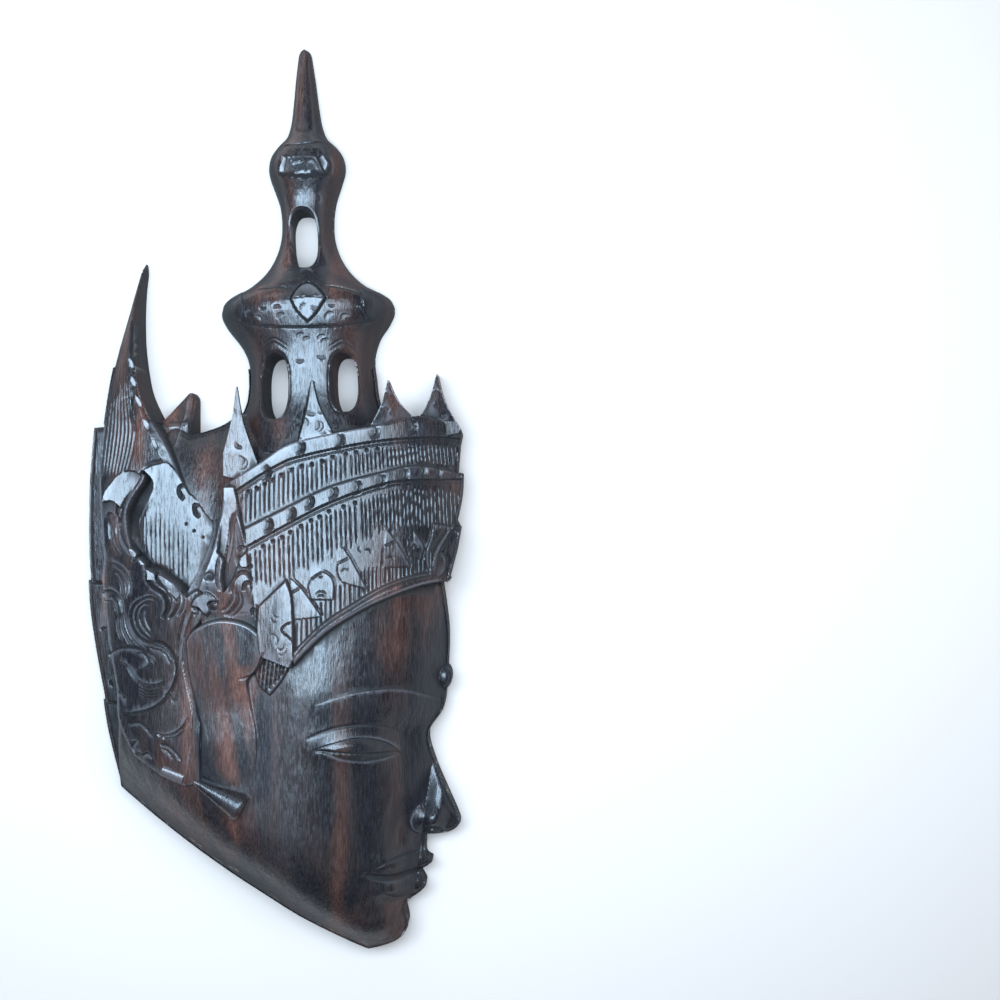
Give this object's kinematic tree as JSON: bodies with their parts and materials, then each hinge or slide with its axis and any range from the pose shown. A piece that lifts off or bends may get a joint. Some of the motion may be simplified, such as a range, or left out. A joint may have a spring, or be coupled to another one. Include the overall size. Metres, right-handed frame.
{
  "type": "carved wooden mask",
  "caption": "Profile wall mask carved from one block of dark ebony, with a pierced tower crown, tiered headband, wing, leaf ornament, long ear and a flat back to rest or hang on.",
  "frame": {"origin": "Middle of the bounding box in X and Y, on the plane of the flat back.", "axes": "+X is the way the face looks, +Y runs up the mask to the crown's tip, +Z comes off the flat back through the carved side."},
  "size_m": [0.185, 0.4442, 0.0611],
  "materials": {
    "ebony": "waxed dark ebony with reddish brown streaks, satin"
  },
  "bodies": {
    "root": {"mask": "ebony"}
  },
  "joints": []
}
